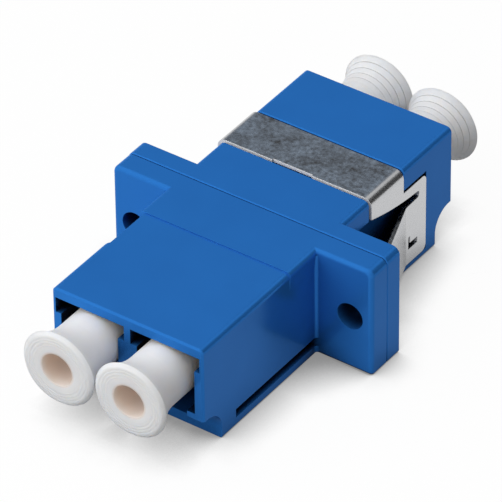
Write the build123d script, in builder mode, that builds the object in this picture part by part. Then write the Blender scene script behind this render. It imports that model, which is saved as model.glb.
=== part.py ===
from build123d import *
from math import cos, radians
import os

# The part is a duplex LC fibre adapter with a two-hole panel flange.
# X runs across the two ports, Y from the front ports to the rear ports, Z up.
# The origin is the middle of the two screw holes, on the flange's rear face.
# Heights are measured from the flat bottom, where the latch side of the ports is.

# Ports
port_pitch = 6.25
port_axis_step = 3.56
port_roof = 1.1
guide_width = 4.6
guide_floor_drop = 2.65

# Wide mouth of each port, and the still wider slot under its ceiling
mouth_depth = 3.0
mouth_side_wall = 0.76
eave_side_wall = 0.3
eave_divider = 0.55
eave_depth = 1.3

# Slot for the plug's latch, with the two catches that hold it
latch_width = 3.95
latch_depth = 9.5
latch_floor_height = 0.85
catch_height = 2.2
catch_gap = 2.9
catch_length = 1.6

# Corner cut back under each mouth
setback_length = 2.2
setback_height = 2.85
setback_radius = 1.8

# Housing body, with the steps from the rear body's top down to the other tops
body_width = 13.1
front_length = 13.9
rear_length = 14.15
body_height = 9.56
front_block_step = 0.28
collar_step = 0.16
rear_flange_step = 0.1
top_edge_radius = 0.45
bottom_edge_radius = 0.2
mouth_edge_bevel = 0.15

# Collar in front of the flange, which widens a little at its top
collar_length = 3.25
collar_widening = 0.08
collar_widening_height = 1.7
collar_edge_bevel = 0.08
inner_corner_radius = 0.28

# Flange, welded from a front and a rear layer
flange_width = 22.8
front_layer = 1.95
rear_layer = 1.55
flange_corner_radius = 0.6
flange_edge_radius = 0.35
weld_bevel = 0.08
screw_edge = 1.9
screw_hole_diameter = 2.2

# Recess in the left side of the front body, and the low groove on both sides
recess_length = 4.5
recess_depth = 0.4
recess_ramp = 0.35
groove_length = 10.0
groove_floor_height = 0.75
groove_height = 0.75
groove_depth = 1.0

# Seat of the clip in the rear body
shoulder_length = 3.25
seat_length = 4.5
seat_depth = 0.4
seat_step = 0.42
seat_corner_radius = 0.45
leg_seat_length = 2.95
leg_seat_step = 1.9
rail_height = 0.6
wing_pocket_length = 9.3
wing_pocket_depth = 0.8

# Spring clip, folded from one sheet
sheet = 0.3
clip_width = 13.6
clip_shift = -0.18
strap_lift = 0.06
strap_near_gap = 0.24
strap_far_gap = 0.1
fold_radius = 0.75
strap_notch_width = 3.5
strap_notch_depth = 0.13
strap_notch_shift = -0.36
leg_gap = 0.1
leg_top_gap = 0.15
leg_corner_radius = 0.5
foot_gap = 0.06
slot_near_step = 1.88
slot_far_step = 2.98
slot_sag = 0.2
slot_width = 0.56
slot_corner_radius = 0.25
slot_end_gap = 0.9
foot_hook_length = 0.6
foot_hook_width = 1.6

# Wings of the clip, which spring out behind the panel
wing_angle = 20.0
wing_step = 3.6
wing_bend_radius = 0.6
wing_root_width = 2.6
panel_room = 2.2

# L-shaped lance in each leg
lance_inset = 0.28
lance_slit = 0.25
lance_slit_length = 0.6
lance_band = 0.5
lance_length = 1.2
lance_height = 1.96

# Sleeve holders and split sleeves
plate_thickness = 1.2
plate_overlap = 0.3
plate_clearance = 0.1
plate_play = 0.04
holder_tube_diameter = 2.9
holder_tube_length = 5.2
holder_lip_length = 0.45
holder_lip_diameter = 1.36
sleeve_bore = 1.248
sleeve_wall = 0.186
sleeve_slit = 0.2
sleeve_clearance = 0.065
sleeve_end_play = 0.25

# Dust caps
stem_clearance = 0.05
stem_reach = 11.2
stem_chamfer = 0.4
cap_tube_clearance = 0.05
cap_bore_depth = 7.0
cap_neck = 1.4
cap_head_gap = 0.09
cap_length_outside = 4.15
cap_edge_bevel = 0.25
cap_hole_diameter = 2.66
cap_hole_depth = 2.6
cap_ring_count = 5
cap_ring_step = 0.07
rear_left_cap_pulled = 0.85

# How far a cutter reaches past the face that it starts from
overrun = 1.0

# How far off its place an edge or a corner may be when it is picked for rounding
pick_band = 0.02

# Heights of the tops, the screws and the ports
front_block_height = body_height - front_block_step
collar_height = body_height - collar_step
rear_flange_height = body_height - rear_flange_step
seat_floor_height = body_height - seat_step
leg_seat_top = body_height - leg_seat_step
screw_height = collar_height / 2
port_axis_height = body_height - port_axis_step
port_ceiling_height = body_height - port_roof
guide_floor_height = port_axis_height - guide_floor_drop
eave_floor_height = port_ceiling_height - eave_depth

# Places along Y
weld_y = -rear_layer
flange_front_y = weld_y - front_layer
collar_front_y = flange_front_y - collar_length
recess_front_y = collar_front_y - recess_length
front_mouth_y = flange_front_y - front_length
rear_mouth_y = rear_length
seat_near_y = shoulder_length
seat_far_y = seat_near_y + seat_length
leg_seat_far_y = seat_far_y + leg_seat_length

# Places across X
screw_spacing = flange_width - 2 * screw_edge
half_body = body_width / 2
port_x = port_pitch / 2
guide_inner = port_x - guide_width / 2
guide_outer = port_x + guide_width / 2
seat_x = half_body - seat_depth
wing_pocket_x = half_body - wing_pocket_depth


def level(height):
    """Z of a height above the bottom."""
    return height - screw_height


def across(y):
    """The plane at y that looks to the front."""
    return Plane.XZ.offset(-y)


def body_block(near_y, far_y, height, near_bevel=0, far_bevel=0):
    """A length of the housing, bevelled along its near or far face."""
    with BuildPart() as block:
        with BuildSketch(across(far_y)) as section:
            with Locations((0, level(0))):
                Rectangle(body_width, height, align=(Align.CENTER, Align.MIN))
            fillet(section.vertices().group_by(Axis.Y)[-1], radius=top_edge_radius)
            fillet(section.vertices().group_by(Axis.Y)[0], radius=bottom_edge_radius)
        extrude(amount=far_y - near_y)
        if near_bevel:
            chamfer(block.faces().sort_by(Axis.Y)[0].edges(), length=near_bevel)
        if far_bevel:
            chamfer(block.faces().sort_by(Axis.Y)[-1].edges(), length=far_bevel)
    return block.part


def flange_layer(near_y, far_y, height, weld_is_near):
    """One layer of the flange, with a bevel along the weld."""
    with BuildPart() as layer:
        with BuildSketch(across(far_y)) as section:
            with Locations((0, level(0))):
                Rectangle(flange_width, height, align=(Align.CENTER, Align.MIN))
            fillet(section.vertices().group_by(Axis.Y)[-1], radius=flange_corner_radius)
            fillet(section.vertices().group_by(Axis.Y)[0], radius=bottom_edge_radius)
        extrude(amount=far_y - near_y)
        near_edges = layer.faces().sort_by(Axis.Y)[0].edges()
        far_edges = layer.faces().sort_by(Axis.Y)[-1].edges()
        if weld_is_near:
            chamfer(near_edges, length=weld_bevel)
        else:
            chamfer(far_edges, length=weld_bevel)
            fillet(near_edges, radius=flange_edge_radius)
    return layer.part


def cut(x_ends, heights, y_ends):
    """Cut a straight space between two places on each axis."""
    near_y, far_y = sorted(y_ends)
    with BuildSketch(across(far_y)) as section:
        with Locations((sum(x_ends) / 2, level(sum(heights) / 2))):
            Rectangle(abs(x_ends[1] - x_ends[0]), abs(heights[1] - heights[0]))
    extrude(section.sketch, amount=far_y - near_y, mode=Mode.SUBTRACT)


def cut_both_sides(inner, outer, heights, y_ends):
    """Cut the same space on the left and on the right."""
    for side in (-1, 1):
        cut((side * inner, side * outer), heights, y_ends)


def cut_ports(mouth_y, inward):
    """Cut the two ports of one end, from the mouth to the weld."""
    outside_y = mouth_y - inward * overrun
    wide_end_y = mouth_y + inward * mouth_depth
    latch_end_y = mouth_y + inward * latch_depth
    catch_end_y = mouth_y + inward * (setback_length + catch_length)
    guide_heights = (guide_floor_height, port_ceiling_height)
    cut_both_sides(guide_inner, guide_outer, guide_heights, (outside_y, weld_y))
    cut_both_sides(guide_inner, half_body - mouth_side_wall, guide_heights, (outside_y, wide_end_y))
    cut_both_sides(eave_divider / 2, half_body - eave_side_wall,
                   (eave_floor_height, port_ceiling_height), (outside_y, wide_end_y))

    latch_inner = port_x - latch_width / 2
    latch_outer = port_x + latch_width / 2
    latch_top = (catch_height, port_axis_height)
    latch_bottom = (latch_floor_height, port_axis_height)
    cut_both_sides(latch_inner, latch_outer, latch_top, (outside_y, latch_end_y))
    cut_both_sides(latch_inner, latch_outer, latch_bottom, (catch_end_y, latch_end_y))
    gap_inner = port_x - catch_gap / 2
    gap_outer = port_x + catch_gap / 2
    cut_both_sides(gap_inner, gap_outer, latch_bottom, (outside_y, latch_end_y))

    with BuildSketch(Plane.YZ) as corner:
        with Locations((mouth_y, level(0))):
            Rectangle(2 * setback_length, 2 * setback_height)
        top_corners = corner.vertices().group_by(Axis.Y)[-1].sort_by(Axis.X)
        fillet(top_corners[-1] if inward > 0 else top_corners[0], radius=setback_radius)
    extrude(corner.sketch, amount=half_body + overrun, both=True, mode=Mode.SUBTRACT)


def cut_plate_pocket(outward):
    """Cut the pocket at the weld that holds one plate of the sleeve holders."""
    reach = plate_overlap + plate_clearance
    heights = (guide_floor_height - reach, port_ceiling_height + reach)
    depth_y = weld_y + outward * (plate_thickness + plate_play)
    cut((-guide_outer - reach, guide_outer + reach), heights, (weld_y, depth_y))


def cut_screw_holes():
    """Cut the two screw holes through the flange."""
    with BuildSketch(across(overrun)) as holes:
        with GridLocations(screw_spacing, 0, 2, 1):
            Circle(screw_hole_diameter / 2)
    extrude(holes.sketch, amount=front_layer + rear_layer + 2 * overrun, mode=Mode.SUBTRACT)


# Front housing: the block with the mouths, the collar and the front flange layer
flange_middle_y = flange_front_y + front_layer / 2
front_block = body_block(front_mouth_y, flange_middle_y, front_block_height,
                         near_bevel=mouth_edge_bevel)
front_flange = flange_layer(flange_front_y, weld_y, collar_height, weld_is_near=False)

with BuildPart() as front_housing:
    add(front_flange)
    collar_x = half_body + collar_widening
    widening_z = level(collar_height - collar_widening_height)
    with BuildSketch(across(flange_middle_y)) as collar:
        with BuildLine():
            Polyline((-half_body, level(0)),
                     (half_body, level(0)),
                     (half_body, widening_z),
                     (collar_x, level(collar_height)),
                     (-collar_x, level(collar_height)),
                     (-half_body, widening_z),
                     close=True)
        make_face()
        fillet(collar.vertices().group_by(Axis.Y)[-1], radius=top_edge_radius)
        fillet(collar.vertices().group_by(Axis.Y)[0], radius=bottom_edge_radius)
    extrude(amount=flange_middle_y - collar_front_y)
    for side in (-1, 1):
        with BuildSketch(Plane.XY.offset(level(bottom_edge_radius))) as inner_corner:
            with Locations((side * half_body, flange_front_y)):
                Rectangle(2 * inner_corner_radius, 2 * inner_corner_radius)
            with Locations((side * (half_body + inner_corner_radius), flange_front_y - inner_corner_radius)):
                Circle(inner_corner_radius, mode=Mode.SUBTRACT)
        extrude(amount=collar_height - top_edge_radius - bottom_edge_radius)
    add(front_block)

    with BuildSketch(Plane.XY.offset(level(-overrun))) as recess:
        with BuildLine():
            Polyline((-half_body - overrun, recess_front_y),
                     (-half_body, recess_front_y),
                     (-half_body + recess_depth, recess_front_y + recess_ramp),
                     (-half_body + recess_depth, collar_front_y),
                     (-half_body - overrun, collar_front_y),
                     close=True)
        make_face()
    extrude(amount=front_block_height + 2 * overrun, mode=Mode.SUBTRACT)
    groove_near_y = flange_front_y - groove_length
    groove_heights = (groove_floor_height, groove_floor_height + groove_height)
    cut_both_sides(half_body - groove_depth, half_body + overrun,
                   groove_heights, (groove_near_y, flange_front_y))
    cut_ports(front_mouth_y, inward=1)
    cut_plate_pocket(outward=-1)
    cut_screw_holes()

# Rear housing: the rear flange layer, the shoulder, the clip's seat and the rear block
rear_block = body_block(seat_far_y, rear_mouth_y, body_height,
                        near_bevel=collar_edge_bevel, far_bevel=mouth_edge_bevel)
rear_shoulder = body_block(weld_y + rear_layer / 2, seat_far_y, rear_flange_height)
rear_flange = flange_layer(weld_y, 0, rear_flange_height, weld_is_near=True)

with BuildPart() as rear_housing:
    add(rear_flange)
    add(rear_shoulder)
    cut((-half_body - overrun, half_body + overrun), (seat_floor_height, body_height + overrun),
        (seat_near_y, seat_far_y))
    cut_both_sides(seat_x, half_body + overrun, (leg_seat_top, body_height + overrun),
                   (seat_near_y, seat_far_y))
    seat_edges = rear_housing.edges().filter_by(Axis.Y).filter_by_position(
        Axis.Z, level(seat_floor_height) - pick_band, level(seat_floor_height) + pick_band)
    fillet(seat_edges, radius=seat_corner_radius)
    add(rear_block)
    cut_both_sides(seat_x, half_body + overrun, (rail_height, leg_seat_top),
                   (seat_near_y, leg_seat_far_y))
    cut_both_sides(wing_pocket_x, half_body + overrun, (rail_height, leg_seat_top),
                   (0, wing_pocket_length))
    cut_both_sides(half_body - groove_depth, half_body + overrun,
                   (rail_height, groove_floor_height + groove_height), (0, leg_seat_far_y))
    cut_ports(rear_mouth_y, inward=-1)
    cut_plate_pocket(outward=1)
    cut_screw_holes()

# Spring clip: strap, two legs with their slots and lances, feet and wings
strap_top = seat_floor_height + strap_lift + sheet
strap_near_y = seat_near_y + strap_near_gap
strap_far_y = seat_far_y - strap_far_gap
leg_far_y = leg_seat_far_y - leg_gap
leg_bottom = rail_height + foot_gap
leg_top = leg_seat_top - leg_top_gap
leg_near_y = leg_far_y - wing_root_width
wing_length = (leg_near_y - panel_room) / cos(radians(wing_angle))
wing_top = body_height - wing_step
slot_end_y = leg_far_y - slot_end_gap
slot_near_z = level(body_height - slot_near_step)
slot_far_z = level(body_height - slot_far_step)
half_clip = clip_width / 2

with BuildPart() as spring_clip:
    with BuildSketch(across(leg_far_y)) as folded_section:
        with Locations((clip_shift, level(leg_bottom))):
            Rectangle(clip_width, strap_top - leg_bottom, align=(Align.CENTER, Align.MIN))
        fillet(folded_section.vertices().group_by(Axis.Y)[-1], radius=fold_radius)
        with BuildSketch(mode=Mode.PRIVATE) as inside:
            with Locations((clip_shift, level(leg_bottom) - overrun)):
                Rectangle(clip_width - 2 * sheet, strap_top - leg_bottom - sheet + overrun,
                          align=(Align.CENTER, Align.MIN))
            fillet(inside.vertices().group_by(Axis.Y)[-1], radius=fold_radius - sheet)
        add(inside.sketch, mode=Mode.SUBTRACT)
    extrude(amount=leg_far_y - strap_near_y)

    with BuildSketch(Plane.YZ) as leg_outline:
        with BuildLine():
            SagittaArc((strap_near_y, slot_near_z), (slot_end_y, slot_far_z), -slot_sag)
            Polyline((slot_end_y, slot_far_z),
                     (slot_end_y, slot_far_z - slot_width),
                     (leg_near_y, level(wing_top)),
                     (leg_near_y, level(leg_bottom)),
                     (leg_far_y, level(leg_bottom)),
                     (leg_far_y, level(leg_top)),
                     (strap_far_y, level(leg_top)),
                     (strap_far_y, level(strap_top + overrun)),
                     (strap_near_y, level(strap_top + overrun)),
                     (strap_near_y, slot_near_z))
        make_face()
        slot_corners = leg_outline.vertices().filter_by_position(
            Axis.X, slot_end_y - pick_band, slot_end_y + pick_band)
        fillet(slot_corners, radius=slot_corner_radius)
        far_corners = leg_outline.vertices().group_by(Axis.X)[-1]
        fillet(far_corners, radius=leg_corner_radius)
        with Locations((leg_near_y + lance_inset, level(lance_height))):
            Rectangle(lance_length, lance_band, align=(Align.MIN, Align.MIN), mode=Mode.SUBTRACT)
            Rectangle(lance_slit, lance_band + lance_slit_length, align=(Align.MIN, Align.MIN),
                      mode=Mode.SUBTRACT)
    extrude(amount=clip_width, both=True, mode=Mode.INTERSECT)

    with BuildSketch(across(strap_near_y - overrun)) as notch:
        with Locations((strap_notch_shift, level(strap_top))):
            Rectangle(strap_notch_width, 2 * overrun)
    extrude(amount=-overrun - strap_notch_depth, mode=Mode.SUBTRACT)

    for side in (-1, 1):
        face_x = clip_shift + side * half_clip
        with BuildSketch(Plane.XY.offset(level(leg_bottom))) as wing_plan:
            with BuildLine() as wing_line:
                FilletPolyline((face_x, leg_near_y + sheet),
                               (face_x, leg_near_y),
                               Vector(face_x, leg_near_y)
                               + Vector(0, -wing_length).rotate(Axis.Z, side * wing_angle),
                               radius=wing_bend_radius)
                offset(amount=sheet, side=Side.RIGHT if side > 0 else Side.LEFT)
            make_face()
        extrude(amount=wing_top - leg_bottom)
        with BuildSketch(Plane.XY.offset(level(leg_bottom))) as foot:
            with Locations((face_x, leg_far_y - leg_corner_radius)):
                Rectangle(2 * (sheet + foot_hook_length), foot_hook_width, align=(Align.CENTER, Align.MAX))
            with Locations((face_x + side * clip_width / 2, leg_far_y)):
                Rectangle(clip_width, clip_width, mode=Mode.SUBTRACT)
        extrude(amount=sheet)

# Sleeve holders: a plate with two tubes, one on each side of the weld
plate_half_width = guide_outer + plate_overlap
plate_low = guide_floor_height - plate_overlap
plate_high = port_ceiling_height + plate_overlap
sleeve_diameter = sleeve_bore + 2 * sleeve_wall
holder_bore = sleeve_diameter + 2 * sleeve_clearance


def holder_half(outward):
    """The plate and tubes on one side of the weld."""
    with BuildPart() as holder:
        with BuildSketch(across(weld_y)) as plate:
            with Locations((0, level(plate_low))):
                Rectangle(2 * plate_half_width, plate_high - plate_low, align=(Align.CENTER, Align.MIN))
            fillet(plate.vertices(), radius=plate_overlap)
        extrude(amount=-outward * plate_thickness)
        with BuildSketch(across(weld_y)):
            with Locations((-port_x, level(port_axis_height)), (port_x, level(port_axis_height))):
                Circle(holder_tube_diameter / 2)
        extrude(amount=-outward * (plate_thickness + holder_tube_length))
        with BuildSketch(across(weld_y)):
            with Locations((-port_x, level(port_axis_height)), (port_x, level(port_axis_height))):
                Circle(holder_bore / 2)
        extrude(amount=-outward * (plate_thickness + holder_tube_length - holder_lip_length),
                mode=Mode.SUBTRACT)
        with BuildSketch(across(weld_y)):
            with Locations((-port_x, level(port_axis_height)), (port_x, level(port_axis_height))):
                Circle(holder_lip_diameter / 2)
        extrude(amount=-outward * (plate_thickness + holder_tube_length + overrun), mode=Mode.SUBTRACT)
    return holder


sleeve_holder_front = holder_half(outward=-1)
sleeve_holder_rear = holder_half(outward=1)

# Split sleeves: one slit tube in each port, trapped between the holders' lips
sleeve_length = 2 * (plate_thickness + holder_tube_length - holder_lip_length - sleeve_end_play)


def split_sleeve(x):
    """The slit tube that lines up the two ferrules of one port."""
    with BuildPart() as sleeve:
        with BuildSketch(across(weld_y + sleeve_length / 2)) as ring:
            with Locations((x, level(port_axis_height))):
                Circle(sleeve_diameter / 2)
                Circle(sleeve_bore / 2, mode=Mode.SUBTRACT)
                Rectangle(sleeve_slit, sleeve_diameter, align=(Align.CENTER, Align.MIN),
                          mode=Mode.SUBTRACT)
        extrude(amount=sleeve_length)
    return sleeve


split_sleeve_left = split_sleeve(-port_x)
split_sleeve_right = split_sleeve(port_x)

# Dust caps: turned profiles, drawn from the mouth (0) outwards along the port.
# The front ones flare smoothly and the rear ones in rings.
stem_radius = guide_width / 2 - stem_clearance
head_radius = (port_pitch - cap_head_gap) / 2
flare_end = cap_length_outside - cap_edge_bevel


def ringed_flare():
    """Points of a flare in rings, each of which ends a little wider than the next one starts."""
    ring_length = (flare_end - cap_neck) / cap_ring_count
    points = []
    for number in range(cap_ring_count + 1):
        radius = stem_radius + (head_radius - stem_radius) * (number / cap_ring_count) ** 2
        place = cap_neck + number * ring_length
        if number > 0:
            points.append((radius, place))
        if number < cap_ring_count:
            points.append((max(radius - cap_ring_step, stem_radius), place))
    return points


def dust_cap(x, mouth_y, outward, ringed, pulled=0):
    """A cap in the port at x, pulled out of its seat by a small length."""
    port_plane = Plane(origin=(x, mouth_y + outward * pulled, level(port_axis_height)),
                       x_dir=(1, 0, 0), z_dir=(0, 0, outward))
    cap_bore = holder_tube_diameter / 2 + cap_tube_clearance
    hole_radius = cap_hole_diameter / 2
    hole_floor = cap_length_outside - cap_hole_depth
    with BuildPart() as cap:
        with BuildSketch(port_plane):
            with BuildLine():
                if ringed:
                    Polyline(*ringed_flare())
                else:
                    TangentArc((stem_radius, cap_neck), (head_radius, flare_end), tangent=(0, 1))
                Polyline((head_radius, flare_end),
                         (head_radius - cap_edge_bevel, cap_length_outside),
                         (hole_radius, cap_length_outside),
                         (hole_radius, hole_floor),
                         (0, hole_floor),
                         (0, cap_bore_depth - stem_reach),
                         (cap_bore, cap_bore_depth - stem_reach),
                         (cap_bore, -stem_reach),
                         (stem_radius - stem_chamfer, -stem_reach),
                         (stem_radius, stem_chamfer - stem_reach),
                         (stem_radius, cap_neck))
            make_face()
        revolve(axis=Axis(port_plane.origin, (0, 1, 0)))
    return cap


dust_cap_front_left = dust_cap(-port_x, front_mouth_y, outward=-1, ringed=False)
dust_cap_front_right = dust_cap(port_x, front_mouth_y, outward=-1, ringed=False)
dust_cap_rear_left = dust_cap(-port_x, rear_mouth_y, outward=1, ringed=True,
                              pulled=rear_left_cap_pulled)
dust_cap_rear_right = dust_cap(port_x, rear_mouth_y, outward=1, ringed=True)

front_housing.part.label = "front_housing"
rear_housing.part.label = "rear_housing"
spring_clip.part.label = "spring_clip"
sleeve_holder_front.part.label = "sleeve_holder_front"
sleeve_holder_rear.part.label = "sleeve_holder_rear"
split_sleeve_left.part.label = "split_sleeve_left"
split_sleeve_right.part.label = "split_sleeve_right"
dust_cap_front_left.part.label = "dust_cap_front_left"
dust_cap_front_right.part.label = "dust_cap_front_right"
dust_cap_rear_left.part.label = "dust_cap_rear_left"
dust_cap_rear_right.part.label = "dust_cap_rear_right"

os.makedirs("parts", exist_ok=True)
export_step(front_housing.part, "parts/front_housing.step")
export_step(rear_housing.part, "parts/rear_housing.step")
export_step(spring_clip.part, "parts/spring_clip.step")
export_step(sleeve_holder_front.part, "parts/sleeve_holder_front.step")
export_step(sleeve_holder_rear.part, "parts/sleeve_holder_rear.step")
export_step(split_sleeve_left.part, "parts/split_sleeve_left.step")
export_step(split_sleeve_right.part, "parts/split_sleeve_right.step")
export_step(dust_cap_front_left.part, "parts/dust_cap_front_left.step")
export_step(dust_cap_front_right.part, "parts/dust_cap_front_right.step")
export_step(dust_cap_rear_left.part, "parts/dust_cap_rear_left.step")
export_step(dust_cap_rear_right.part, "parts/dust_cap_rear_right.step")
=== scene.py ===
import math

import bpy
from mathutils import Matrix, Vector


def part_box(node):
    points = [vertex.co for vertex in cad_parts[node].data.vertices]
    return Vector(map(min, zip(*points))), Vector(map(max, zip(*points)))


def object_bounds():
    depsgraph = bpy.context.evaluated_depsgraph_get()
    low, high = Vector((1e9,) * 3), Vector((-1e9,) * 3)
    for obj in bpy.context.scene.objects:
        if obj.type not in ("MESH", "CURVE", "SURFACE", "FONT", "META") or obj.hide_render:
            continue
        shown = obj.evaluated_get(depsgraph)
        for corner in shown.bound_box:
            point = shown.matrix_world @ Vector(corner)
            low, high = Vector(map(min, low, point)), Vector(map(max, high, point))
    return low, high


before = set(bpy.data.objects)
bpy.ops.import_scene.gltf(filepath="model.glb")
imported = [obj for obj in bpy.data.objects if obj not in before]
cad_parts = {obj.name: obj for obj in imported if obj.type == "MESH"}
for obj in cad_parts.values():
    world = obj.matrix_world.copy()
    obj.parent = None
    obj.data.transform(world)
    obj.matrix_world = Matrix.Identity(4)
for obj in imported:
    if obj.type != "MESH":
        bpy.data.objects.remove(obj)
cad_low, cad_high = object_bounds()

# Housing halves: injection-moulded PBT in a saturated blue, welded along the flange.
# A polished mould leaves a glossy skin, which mirrors the flange softly in the body's
# side. Deep, narrow places such as the screw holes get painted shade: their colour is
# drawn darker, towards near-black.
MM = 0.001
HOUSING_BLUE = "#2F7BCF"
HOUSING_BLUE_DEEP = "#2C74C5"
# The colour of the painted shade in deep places.
HOUSING_PAINTED_SHADE = "#08090E"
GLOSSY_PBT_ROUGHNESS = 0.16
GLOSSY_PBT_SPREAD = 0.04
PBT_IOR = 1.57
# The photograph's reflections come back in the plastic's own blue, so a share of the
# shine is drawn as blue metal, and the clear shine is off.
BLUE_SHEEN_SHARE = 0.28
CLEAR_SHEEN = 0.0
# Slow marks of a few millimetres, where the melt flowed in and where it sank a little.
FLOW_MARK_SIZE = 4.0 * MM
FLOW_MARK_DETAIL = 2.0
FLOW_MARK_DEPTH = 0.05 * MM
FLOW_MARK_STRENGTH = 0.3
# A polished mould's own grain is about 0.02 mm, drawn coarser here so that it shows.
SKIN_GRAIN_SIZE = 0.12 * MM
SKIN_GRAIN_DETAIL = 3.0
SKIN_GRAIN_DEPTH = 0.01 * MM
SKIN_GRAIN_STRENGTH = 0.1
MOULDED_EDGE_RADIUS = 0.05 * MM
EDGE_SAMPLES = 6
# Painted shade: how far off a wall still darkens the plastic's colour, and the open shares
# of the view from a point at which it is fully dark and fully blue.
PAINTED_SHADE_REACH = 4.0 * MM
PAINTED_SHADE_SAMPLES = 8
PAINTED_SHADE_FULL = 0.2
PAINTED_SHADE_NONE = 0.55


def linear(hex_colour):
    """A colour written as sRGB hex, turned to linear light by the curve of that standard."""
    channels = [int(hex_colour[place:place + 2], 16) / 255 for place in (1, 3, 5)]
    return [c / 12.92 if c <= 0.04045 else ((c + 0.055) / 1.055) ** 2.4 for c in channels] + [1.0]


def add_node(material, kind, settings=None, **inputs):
    """Adds a shader node with its settings.

    Each further word gives one input a value or a link. The word is the input's name,
    with _ for a space, or i and the input's number. A Mix node of colours has its factor
    at i0, its colours at i6 and i7, and its result at output 2.
    """
    node = material.node_tree.nodes.new(kind)
    for name, value in (settings or {}).items():
        setattr(node, name, value)
    for name, value in inputs.items():
        numbered = name[1:].isdigit()
        socket = node.inputs[int(name[1:]) if numbered else name.replace("_", " ")]
        if isinstance(value, bpy.types.NodeSocket):
            material.node_tree.links.new(value, socket)
        else:
            socket.default_value = value
    return node


def new_material(name):
    """An empty node material."""
    material = bpy.data.materials.new(name)
    material.use_nodes = True
    material.node_tree.nodes.clear()
    return material


def finish_material(material, shader):
    """Puts the shader on the material's surface."""
    add_node(material, "ShaderNodeOutputMaterial", Surface=shader.outputs[0])
    return material


def moulded_pbt():
    """Glossy blue: slow flow marks, a fine grain, soft edges, and painted shade in deep places."""
    material = new_material("PBT_blue_moulded")
    place = add_node(material, "ShaderNodeTexCoord").outputs["Object"]
    flow = add_node(material, "ShaderNodeTexNoise", Vector=place,
                    Scale=1 / FLOW_MARK_SIZE, Detail=FLOW_MARK_DETAIL)
    blue = add_node(material, "ShaderNodeMix", {"data_type": "RGBA"},
                    i0=flow.outputs["Fac"], i6=linear(HOUSING_BLUE_DEEP), i7=linear(HOUSING_BLUE))
    # Painted shade: the less of the surroundings a point sees, the nearer its colour goes to the
    # shade colour.
    open_sky = add_node(material, "ShaderNodeAmbientOcclusion", {"samples": PAINTED_SHADE_SAMPLES},
                        Distance=PAINTED_SHADE_REACH)
    unshaded_share = add_node(material, "ShaderNodeMapRange", Value=open_sky.outputs["AO"],
                        From_Min=PAINTED_SHADE_FULL, From_Max=PAINTED_SHADE_NONE)
    colour = add_node(material, "ShaderNodeMix", {"data_type": "RGBA"},
                      i0=unshaded_share.outputs["Result"], i6=linear(HOUSING_PAINTED_SHADE),
                      i7=blue.outputs[2])
    grain = add_node(material, "ShaderNodeTexNoise", Vector=place,
                     Scale=1 / SKIN_GRAIN_SIZE, Detail=SKIN_GRAIN_DETAIL)
    soft_edge = add_node(material, "ShaderNodeBevel", {"samples": EDGE_SAMPLES},
                         Radius=MOULDED_EDGE_RADIUS)
    skin = add_node(material, "ShaderNodeBump", Height=grain.outputs["Fac"],
                    Normal=soft_edge.outputs["Normal"],
                    Strength=SKIN_GRAIN_STRENGTH, Distance=SKIN_GRAIN_DEPTH)
    sink = add_node(material, "ShaderNodeBump", Height=flow.outputs["Fac"],
                    Normal=skin.outputs["Normal"],
                    Strength=FLOW_MARK_STRENGTH, Distance=FLOW_MARK_DEPTH)
    roughness = add_node(material, "ShaderNodeMapRange", Value=grain.outputs["Fac"],
                         To_Min=GLOSSY_PBT_ROUGHNESS - GLOSSY_PBT_SPREAD,
                         To_Max=GLOSSY_PBT_ROUGHNESS + GLOSSY_PBT_SPREAD)
    return finish_material(material, add_node(
        material, "ShaderNodeBsdfPrincipled", Base_Color=colour.outputs[2],
        Metallic=BLUE_SHEEN_SHARE, Roughness=roughness.outputs["Result"], IOR=PBT_IOR,
        Specular_IOR_Level=CLEAR_SHEEN, Normal=sink.outputs["Normal"]))


def dress(node_name, material):
    """Gives a node of the frame its finished material."""
    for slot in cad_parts[node_name].material_slots:
        slot.material = material


housing_material = moulded_pbt()
dress("front_housing", housing_material)
dress("rear_housing", housing_material)

# Sleeve holders: two plates with tubes, moulded in the same PBT as the housing. They
# meet at the weld and carry the split sleeves inside the ports.
dress("sleeve_holder_front", housing_material)
dress("sleeve_holder_rear", housing_material)

# Split sleeves: ground zirconia tubes with one slit each, creamy white and polished.
# They float in the holders' tubes and line up the two ferrules of a port.
ZIRCONIA_CREAM = "#EFEBDD"
ZIRCONIA_SHADE = "#E6E0CF"
ZIRCONIA_ROUGHNESS = (0.12, 0.2)
ZIRCONIA_IOR = 2.1
# Grinding leaves lines a few thousandths of a millimetre apart, drawn coarser here so
# that a close view can show them.
GRINDING_SIZE = 0.05 * MM
GRINDING_DETAIL = 2.0


def ground_zirconia():
    """Polished ceramic: creamy, smooth, with a strong clear reflection."""
    material = new_material("Zirconia_ground")
    place = add_node(material, "ShaderNodeTexCoord").outputs["Object"]
    grind = add_node(material, "ShaderNodeTexNoise", Vector=place,
                     Scale=1 / GRINDING_SIZE, Detail=GRINDING_DETAIL)
    colour = add_node(material, "ShaderNodeMix", {"data_type": "RGBA"},
                      i0=grind.outputs["Fac"], i6=linear(ZIRCONIA_SHADE),
                      i7=linear(ZIRCONIA_CREAM))
    roughness = add_node(material, "ShaderNodeMapRange", Value=grind.outputs["Fac"],
                         To_Min=ZIRCONIA_ROUGHNESS[0], To_Max=ZIRCONIA_ROUGHNESS[1])
    return finish_material(material, add_node(
        material, "ShaderNodeBsdfPrincipled", Base_Color=colour.outputs[2],
        Roughness=roughness.outputs["Result"], IOR=ZIRCONIA_IOR))


zirconia = ground_zirconia()
dress("split_sleeve_left", zirconia)
dress("split_sleeve_right", zirconia)

# Spring clip: stainless spring strip, 0.3 mm thick, blanked and folded over the rear
# half. Its flat top has real stains and is cloudy, and it is also painted darker as a
# painted reflection of the dim surroundings above it; the legs are cleaner. The sheared
# edges are rough and carry a painted highlight: they are drawn white.
STRIP_CLEAN = "#C0C1C3"
STRIP_ROUGHNESS = (0.2, 0.3)
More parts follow.
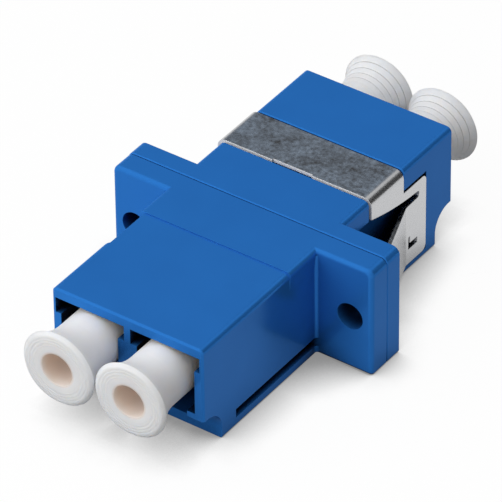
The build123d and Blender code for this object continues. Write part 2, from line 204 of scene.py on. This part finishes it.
# Small stains lie in slow patches. The ranges say how much of their noise is used.
# The flat top's colour runs between these two: real stains, and overall darker than the legs as a
# painted reflection of the dim surroundings.
STAIN_AND_REFLECTION_DARK = "#6E6862"
STAIN_AND_REFLECTION_LIGHT = "#CDD6DE"
STAIN_SIZE = 0.4 * MM
STAIN_DETAIL = 6.0
STAIN_RAGGEDNESS = 0.7
STAIN_PATCH_SIZE = 1.8 * MM
STAIN_PATCH_DETAIL = 3.0
STAIN_PATCH_SHARE = 0.5
STAIN_RANGE = (0.52, 0.95)
POLISH_RANGE = (0.3, 0.7)
# Rolling marks are a few hundredths of a millimetre wide, drawn coarser here so that
# they show.
ROLLING_MARK_SIZE = 0.12 * MM
ROLLING_MARK_DETAIL = 3.0
ROLLING_MARK_DEPTH = 0.01 * MM
ROLLING_MARK_STRENGTH = 0.3
# How squarely a face has to look up to get stains and the painted darker reflection, or
# forwards or back to be sheared and painted white.
FLAT_TOP_FADE = (0.98, 0.998)
SHEARED_FADE = (0.6, 0.9)
# A torn edge scatters light in all directions, so it is drawn only partly as a mirror.
# Painted highlight: the sheared edges are drawn white, so that they show as a bright line.
SHEARED_PAINTED_HIGHLIGHT = "#FFFFFF"
SHEARED_MIRROR_SHARE = 0.1
SHEARED_ROUGHNESS = 0.6
SHEARED_EDGE_RADIUS = 0.05 * MM


def rolled_stainless():
    """Cold-rolled strip: stains and a painted darker reflection where it lies flat, clean on the
    legs, a painted white highlight at cut edges.
    """
    material = new_material("Stainless_strip_rolled")
    coordinates = add_node(material, "ShaderNodeTexCoord")
    place = coordinates.outputs["Object"]
    facing = add_node(material, "ShaderNodeSeparateXYZ", Vector=coordinates.outputs["Normal"])
    spots = add_node(material, "ShaderNodeTexNoise", Vector=place, Scale=1 / STAIN_SIZE,
                     Detail=STAIN_DETAIL, Roughness=STAIN_RAGGEDNESS)
    patches = add_node(material, "ShaderNodeTexNoise", Vector=place,
                       Scale=1 / STAIN_PATCH_SIZE, Detail=STAIN_PATCH_DETAIL)
    mottle = add_node(material, "ShaderNodeMath", {"operation": "MULTIPLY_ADD"},
                      i0=patches.outputs["Fac"], i1=STAIN_PATCH_SHARE, i2=spots.outputs["Fac"])
    shade = add_node(material, "ShaderNodeMapRange", Value=mottle.outputs[0],
                     From_Min=STAIN_RANGE[0], From_Max=STAIN_RANGE[1])
    # Stains, and a painted darker reflection: the colour of the flat top.
    stains_and_reflection = add_node(material, "ShaderNodeMix", {"data_type": "RGBA"},
                       i0=shade.outputs["Result"], i6=linear(STAIN_AND_REFLECTION_DARK),
                       i7=linear(STAIN_AND_REFLECTION_LIGHT))
    flat_top = add_node(material, "ShaderNodeMapRange", Value=facing.outputs["Z"],
                        From_Min=FLAT_TOP_FADE[0], From_Max=FLAT_TOP_FADE[1])
    body = add_node(material, "ShaderNodeMix", {"data_type": "RGBA"},
                    i0=flat_top.outputs["Result"], i6=linear(STRIP_CLEAN),
                    i7=stains_and_reflection.outputs[2])
    along = add_node(material, "ShaderNodeMath", {"operation": "ABSOLUTE"}, i0=facing.outputs["Y"])
    cut_edge = add_node(material, "ShaderNodeMapRange", Value=along.outputs[0],
                        From_Min=SHEARED_FADE[0], From_Max=SHEARED_FADE[1])
    # Painted highlight: the cut edges are drawn white.
    colour = add_node(material, "ShaderNodeMix", {"data_type": "RGBA"},
                      i0=cut_edge.outputs["Result"], i6=body.outputs[2],
                      i7=linear(SHEARED_PAINTED_HIGHLIGHT))
    marks = add_node(material, "ShaderNodeTexNoise", Vector=place,
                     Scale=1 / ROLLING_MARK_SIZE, Detail=ROLLING_MARK_DETAIL)
    soft_edge = add_node(material, "ShaderNodeBevel", {"samples": EDGE_SAMPLES},
                         Radius=SHEARED_EDGE_RADIUS)
    bump = add_node(material, "ShaderNodeBump", Height=marks.outputs["Fac"],
                    Normal=soft_edge.outputs["Normal"],
                    Strength=ROLLING_MARK_STRENGTH, Distance=ROLLING_MARK_DEPTH)
    polish = add_node(material, "ShaderNodeMapRange", Value=spots.outputs["Fac"],
                      From_Min=POLISH_RANGE[0], From_Max=POLISH_RANGE[1],
                      To_Min=STRIP_ROUGHNESS[0], To_Max=STRIP_ROUGHNESS[1])
    roughness = add_node(material, "ShaderNodeMix", {"data_type": "FLOAT"},
                         i0=cut_edge.outputs["Result"], i2=polish.outputs["Result"],
                         i3=SHEARED_ROUGHNESS)
    mirror_share = add_node(material, "ShaderNodeMapRange", Value=cut_edge.outputs["Result"],
                            To_Min=1.0, To_Max=SHEARED_MIRROR_SHARE)
    return finish_material(material, add_node(
        material, "ShaderNodeBsdfPrincipled", Base_Color=colour.outputs[2],
        Metallic=mirror_share.outputs["Result"], Roughness=roughness.outputs[0],
        Normal=bump.outputs["Normal"]))


dress("spring_clip", rolled_stainless())

# Dust caps: soft natural LDPE plugs, moulded in one shot, pushed into the ports.
# Inside the hole in each head the colour is painted a warm tan, which stands for light
# coming through the thick waxy plastic, and faint rings from the turned mould run round
# the face.
LDPE_WHITE = "#FAFAFB"
LDPE_HAZE = "#F2F2F4"
LDPE_PAINTED_HOLE_LIGHT = "#F2E4DB"
LDPE_ROUGHNESS = 0.5
LDPE_IOR = 1.51
LDPE_SHEEN = 0.35
# Light goes into the waxy plastic and comes out a little further on, red the furthest.
LDPE_LIGHT_SHARE = 0.85
LDPE_LIGHT_REACH = 1.5 * MM
LDPE_LIGHT_BY_CHANNEL = (1.0, 0.9, 0.8)
LDPE_HAZE_SIZE = 1.5 * MM
LDPE_HAZE_DETAIL = 3.0
LDPE_HAZE_STRENGTH = 0.3
CAP_RELIEF_DEPTH = 0.03 * MM
CAP_EDGE_RADIUS = 0.1 * MM
# A cap is round, so the middle of its box lies on its port's axis.
cap_low, cap_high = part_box("dust_cap_front_right")
PORT_X = (cap_low.x + cap_high.x) / 2
PORT_Z = (cap_low.z + cap_high.z) / 2
# The painted tan fades in just outside the hole's wall, between two shares of its radius.
CAP_HOLE_RADIUS = 1.33 * MM
CAP_HOLE_FADE = (1.14, 1.01)
# The rings lie on the face alone, which looks straight along the port.
FACE_RING_PITCH = 0.24 * MM
FACE_RING_START = 1.9 * MM
FACE_RING_END = 2.8 * MM
FACE_RING_STRENGTH = 0.55
FACE_FLATNESS = 0.98


def soft_ldpe():
    """Waxy white: a painted warm tan of light inside the head's hole, faint rings on the face,
    soft edges.
    """
    material = new_material("LDPE_natural_moulded")
    coordinates = add_node(material, "ShaderNodeTexCoord")
    place = coordinates.outputs["Object"]
    split = add_node(material, "ShaderNodeSeparateXYZ", Vector=place)
    across = add_node(material, "ShaderNodeMath", {"operation": "ABSOLUTE"}, i0=split.outputs["X"])
    offset_x = add_node(material, "ShaderNodeMath", {"operation": "SUBTRACT"},
                        i0=across.outputs[0], i1=PORT_X)
    offset_z = add_node(material, "ShaderNodeMath", {"operation": "SUBTRACT"},
                        i0=split.outputs["Z"], i1=PORT_Z)
    radial = add_node(material, "ShaderNodeCombineXYZ",
                      X=offset_x.outputs[0], Y=offset_z.outputs[0])
    radius = add_node(material, "ShaderNodeVectorMath", {"operation": "LENGTH"},
                      i0=radial.outputs[0])
    hole_light = add_node(material, "ShaderNodeMapRange", Value=radius.outputs["Value"],
                       From_Min=CAP_HOLE_RADIUS * CAP_HOLE_FADE[0],
                       From_Max=CAP_HOLE_RADIUS * CAP_HOLE_FADE[1])
    haze = add_node(material, "ShaderNodeTexNoise", Vector=place,
                    Scale=1 / LDPE_HAZE_SIZE, Detail=LDPE_HAZE_DETAIL)
    wax = add_node(material, "ShaderNodeMix", {"data_type": "RGBA"},
                   i0=haze.outputs["Fac"], i6=linear(LDPE_HAZE), i7=linear(LDPE_WHITE))
    # Painted light: inside the hole the colour goes warm tan, for light through the thick plastic.
    colour = add_node(material, "ShaderNodeMix", {"data_type": "RGBA"},
                      i0=hole_light.outputs["Result"], i6=wax.outputs[2],
                      i7=linear(LDPE_PAINTED_HOLE_LIGHT))
    turn = add_node(material, "ShaderNodeMath", {"operation": "MULTIPLY"},
                    i0=radius.outputs["Value"], i1=2 * math.pi / FACE_RING_PITCH)
    wave = add_node(material, "ShaderNodeMath", {"operation": "SINE"}, i0=turn.outputs[0])
    ring_start = add_node(material, "ShaderNodeMath", {"operation": "GREATER_THAN"},
                          i0=radius.outputs["Value"], i1=FACE_RING_START)
    ring_end = add_node(material, "ShaderNodeMath", {"operation": "LESS_THAN"},
                        i0=radius.outputs["Value"], i1=FACE_RING_END)
    ringed = add_node(material, "ShaderNodeMath", {"operation": "MULTIPLY"},
                      i0=ring_start.outputs[0], i1=ring_end.outputs[0])
    facing = add_node(material, "ShaderNodeSeparateXYZ", Vector=coordinates.outputs["Normal"])
    along = add_node(material, "ShaderNodeMath", {"operation": "ABSOLUTE"}, i0=facing.outputs["Y"])
    on_face = add_node(material, "ShaderNodeMath", {"operation": "GREATER_THAN"},
                       i0=along.outputs[0], i1=FACE_FLATNESS)
    where = add_node(material, "ShaderNodeMath", {"operation": "MULTIPLY"},
                     i0=ringed.outputs[0], i1=on_face.outputs[0])
    rings = add_node(material, "ShaderNodeMath", {"operation": "MULTIPLY"},
                     i0=wave.outputs[0], i1=where.outputs[0])
    soft_edge = add_node(material, "ShaderNodeBevel", {"samples": EDGE_SAMPLES},
                         Radius=CAP_EDGE_RADIUS)
    ring_bump = add_node(material, "ShaderNodeBump", Height=rings.outputs[0],
                         Normal=soft_edge.outputs["Normal"],
                         Strength=FACE_RING_STRENGTH, Distance=CAP_RELIEF_DEPTH)
    bump = add_node(material, "ShaderNodeBump", Height=haze.outputs["Fac"],
                    Normal=ring_bump.outputs["Normal"],
                    Strength=LDPE_HAZE_STRENGTH, Distance=CAP_RELIEF_DEPTH)
    return finish_material(material, add_node(
        material, "ShaderNodeBsdfPrincipled", Base_Color=colour.outputs[2],
        Roughness=LDPE_ROUGHNESS, IOR=LDPE_IOR, Specular_IOR_Level=LDPE_SHEEN,
        Subsurface_Weight=LDPE_LIGHT_SHARE, Subsurface_Radius=LDPE_LIGHT_BY_CHANNEL,
        Subsurface_Scale=LDPE_LIGHT_REACH, Normal=bump.outputs["Normal"]))


ldpe = soft_ldpe()
for end in ("front", "rear"):
    for side in ("left", "right"):
        dress(f"dust_cap_{end}_{side}", ldpe)

# Studio: a white sheet under the flat bottom, a broad lamp high over the front left, a
# low one that fills in the ports' faces, two grey cards behind, light on the left and
# dark on the right, that only mirrors show, and a white surround.
FLOOR_Z = cad_low.z
FLOOR_REACH = 2.0
FLOOR_WHITE = "#FFFFFF"
FLOOR_BOUNCE = "#A0A0A0"
FLOOR_GLOW = 0.95
# The shadow where the adapter meets the sheet: how far off the adapter still shades it,
# the open shares of the view at which the shadow is full and gone, and how dark it gets.
CONTACT_SHADOW_REACH = 5.0 * MM
CONTACT_SHADOW_FADE = (0.35, 0.85)
CONTACT_SHADOW_DEPTH = 0.25
CONTACT_SHADOW_SAMPLES = 16
KEY_PLACE = (-0.1, -0.16, 0.37)
KEY_SIZE = 0.6
KEY_POWER = 1.85
FILL_PLACE = (-0.2, -0.36, 0.09)
FILL_SIZE = 0.25
FILL_POWER = 0.5
GREY_CARD_PLACE = (-0.185, 0.22, 0.2)
GREY_CARD_SIZE = 0.3
CARD_GREY = "#8B939E"
DARK_CARD_PLACE = (0.203, 0.212, 0.085)
DARK_CARD_SIZE = 0.29
CARD_DARK = "#4C4C4C"
EVEN_LIGHT = 0.3


def studio_sheet(name, corners, material):
    """A flat sheet of the studio, which isn't part of the adapter."""
    mesh = bpy.data.meshes.new(name)
    mesh.from_pydata(corners, [], [(0, 1, 2, 3)])
    mesh.materials.append(material)
    sheet = bpy.data.objects.new(name, mesh)
    bpy.context.scene.collection.objects.link(sheet)
    return sheet


def seen_directly(material):
    """1 for what the camera, a mirror or clear material sees, and 0 for plain light."""
    path = add_node(material, "ShaderNodeLightPath")
    mirrored = add_node(material, "ShaderNodeMath", {"operation": "MAXIMUM"},
                        i0=path.outputs["Is Glossy Ray"],
                        i1=path.outputs["Is Transmission Ray"])
    seen = add_node(material, "ShaderNodeMath", {"operation": "MAXIMUM"},
                    i0=path.outputs["Is Camera Ray"], i1=mirrored.outputs[0])
    return seen.outputs[0]


def white_paper():
    """Matt paper that looks white, keeps the shadow and throws little light back."""
    material = new_material("Paper_white_matt")
    seen = seen_directly(material)
    colour = add_node(material, "ShaderNodeMix", {"data_type": "RGBA"},
                      i0=seen, i6=linear(FLOOR_BOUNCE), i7=linear(FLOOR_WHITE))
    paper = add_node(material, "ShaderNodeBsdfDiffuse", Color=colour.outputs[2])
    open_sky = add_node(material, "ShaderNodeAmbientOcclusion",
                        {"samples": CONTACT_SHADOW_SAMPLES}, Distance=CONTACT_SHADOW_REACH)
    contact = add_node(material, "ShaderNodeMapRange", Value=open_sky.outputs["AO"],
                       From_Min=CONTACT_SHADOW_FADE[0], From_Max=CONTACT_SHADOW_FADE[1],
                       To_Min=CONTACT_SHADOW_DEPTH, To_Max=1.0)
    glow = add_node(material, "ShaderNodeEmission", Strength=contact.outputs["Result"])
    share = add_node(material, "ShaderNodeMath", {"operation": "MULTIPLY"},
                     i0=seen, i1=FLOOR_GLOW)
    return finish_material(material, add_node(
        material, "ShaderNodeMixShader",
        i0=share.outputs[0], i1=paper.outputs[0], i2=glow.outputs[0]))


def square_corners(place, size):
    """The corners of a square sheet at a place, turned to the object."""
    middle = Vector(place)
    sideways = middle.cross(Vector((0, 0, 1))).normalized() * size / 2
    upwards = sideways.cross(middle).normalized() * size / 2
    return [middle - sideways - upwards, middle + sideways - upwards,
            middle + sideways + upwards, middle - sideways + upwards]


def studio_card(name, place, size, material_name, colour):
    """A square card in one even colour that shows in mirrors and nowhere else."""
    material = new_material(material_name)
    card = studio_sheet(name, square_corners(place, size), finish_material(material, add_node(
        material, "ShaderNodeEmission", Color=linear(colour), Strength=1.0)))
    card.visible_camera = False
    card.visible_diffuse = False
    card.visible_shadow = False


def studio_lamp(name, place, size, power):
    """A square soft lamp that looks at the object and doesn't show in mirrors."""
    data = bpy.data.lights.new(name, "AREA")
    data.shape = "SQUARE"
    data.size = size
    data.energy = power
    lamp = bpy.data.objects.new(name, data)
    lamp.visible_glossy = False
    bpy.context.scene.collection.objects.link(lamp)
    lamp.location = place
    lamp.rotation_mode = "QUATERNION"
    lamp.rotation_quaternion = (-Vector(place)).to_track_quat("-Z", "Y")


def white_surround():
    """White to the camera and in mirrors, and a weak even light elsewhere."""
    world = bpy.data.worlds.new("white_surround")
    bpy.context.scene.world = world
    world.use_nodes = True
    world.node_tree.nodes.clear()
    seen = seen_directly(world)
    even = add_node(world, "ShaderNodeBackground", Strength=EVEN_LIGHT)
    white = add_node(world, "ShaderNodeBackground", Strength=1.0)
    mix = add_node(world, "ShaderNodeMixShader",
                   i0=seen, i1=even.outputs[0], i2=white.outputs[0])
    add_node(world, "ShaderNodeOutputWorld", Surface=mix.outputs[0])


studio_sheet("studio_floor", [(x * FLOOR_REACH, y * FLOOR_REACH, FLOOR_Z)
                              for x, y in ((-1, -1), (1, -1), (1, 1), (-1, 1))], white_paper())
studio_card("grey_card", GREY_CARD_PLACE, GREY_CARD_SIZE, "Card_grey_cool", CARD_GREY)
studio_card("dark_card", DARK_CARD_PLACE, DARK_CARD_SIZE, "Card_grey_dark", CARD_DARK)
studio_lamp("key_lamp", KEY_PLACE, KEY_SIZE, KEY_POWER)
studio_lamp("fill_lamp", FILL_PLACE, FILL_SIZE, FILL_POWER)
white_surround()

# Camera: a long lens, high on the right of the front ports, as in the photograph.
# Azimuth, elevation, roll and distance come from the body's straight edges.
PHOTO_WIDTH = 502
FOCAL_PIXELS = 5781.0
OPTICAL_CENTRE = (249.7, 264.0)
SENSOR_WIDTH = 36.0
NEAREST_SEEN, FURTHEST_SEEN = 0.01, 10.0
CAMERA_AZIMUTH = math.radians(35.53)
CAMERA_ELEVATION = math.radians(37.713)
CAMERA_ROLL = math.radians(-0.701)
CAMERA_DISTANCE = 418.18 * MM
CAMERA_TARGET = Vector((0.0, -2.44 * MM, -0.1 * MM))

back = Vector((math.sin(CAMERA_AZIMUTH) * math.cos(CAMERA_ELEVATION),
               -math.cos(CAMERA_AZIMUTH) * math.cos(CAMERA_ELEVATION),
               math.sin(CAMERA_ELEVATION)))
level_right = Vector((math.cos(CAMERA_AZIMUTH), math.sin(CAMERA_AZIMUTH), 0.0))
upright = back.cross(level_right)
right = level_right * math.cos(CAMERA_ROLL) + upright * math.sin(CAMERA_ROLL)
up = back.cross(right)
camera_data = bpy.data.cameras.new("camera")
camera_data.sensor_width = SENSOR_WIDTH
camera_data.lens = SENSOR_WIDTH * FOCAL_PIXELS / PHOTO_WIDTH
camera_data.shift_x = (PHOTO_WIDTH / 2 - OPTICAL_CENTRE[0]) / PHOTO_WIDTH
camera_data.shift_y = (OPTICAL_CENTRE[1] - PHOTO_WIDTH / 2) / PHOTO_WIDTH
camera_data.clip_start = NEAREST_SEEN
camera_data.clip_end = FURTHEST_SEEN
camera = bpy.data.objects.new("camera", camera_data)
bpy.context.scene.collection.objects.link(camera)
camera.matrix_world = Matrix.Translation(CAMERA_TARGET + back * CAMERA_DISTANCE) @ Matrix(
    (right, up, back)).transposed().to_4x4()
bpy.context.scene.camera = camera
bpy.context.scene.view_settings.view_transform = "Standard"
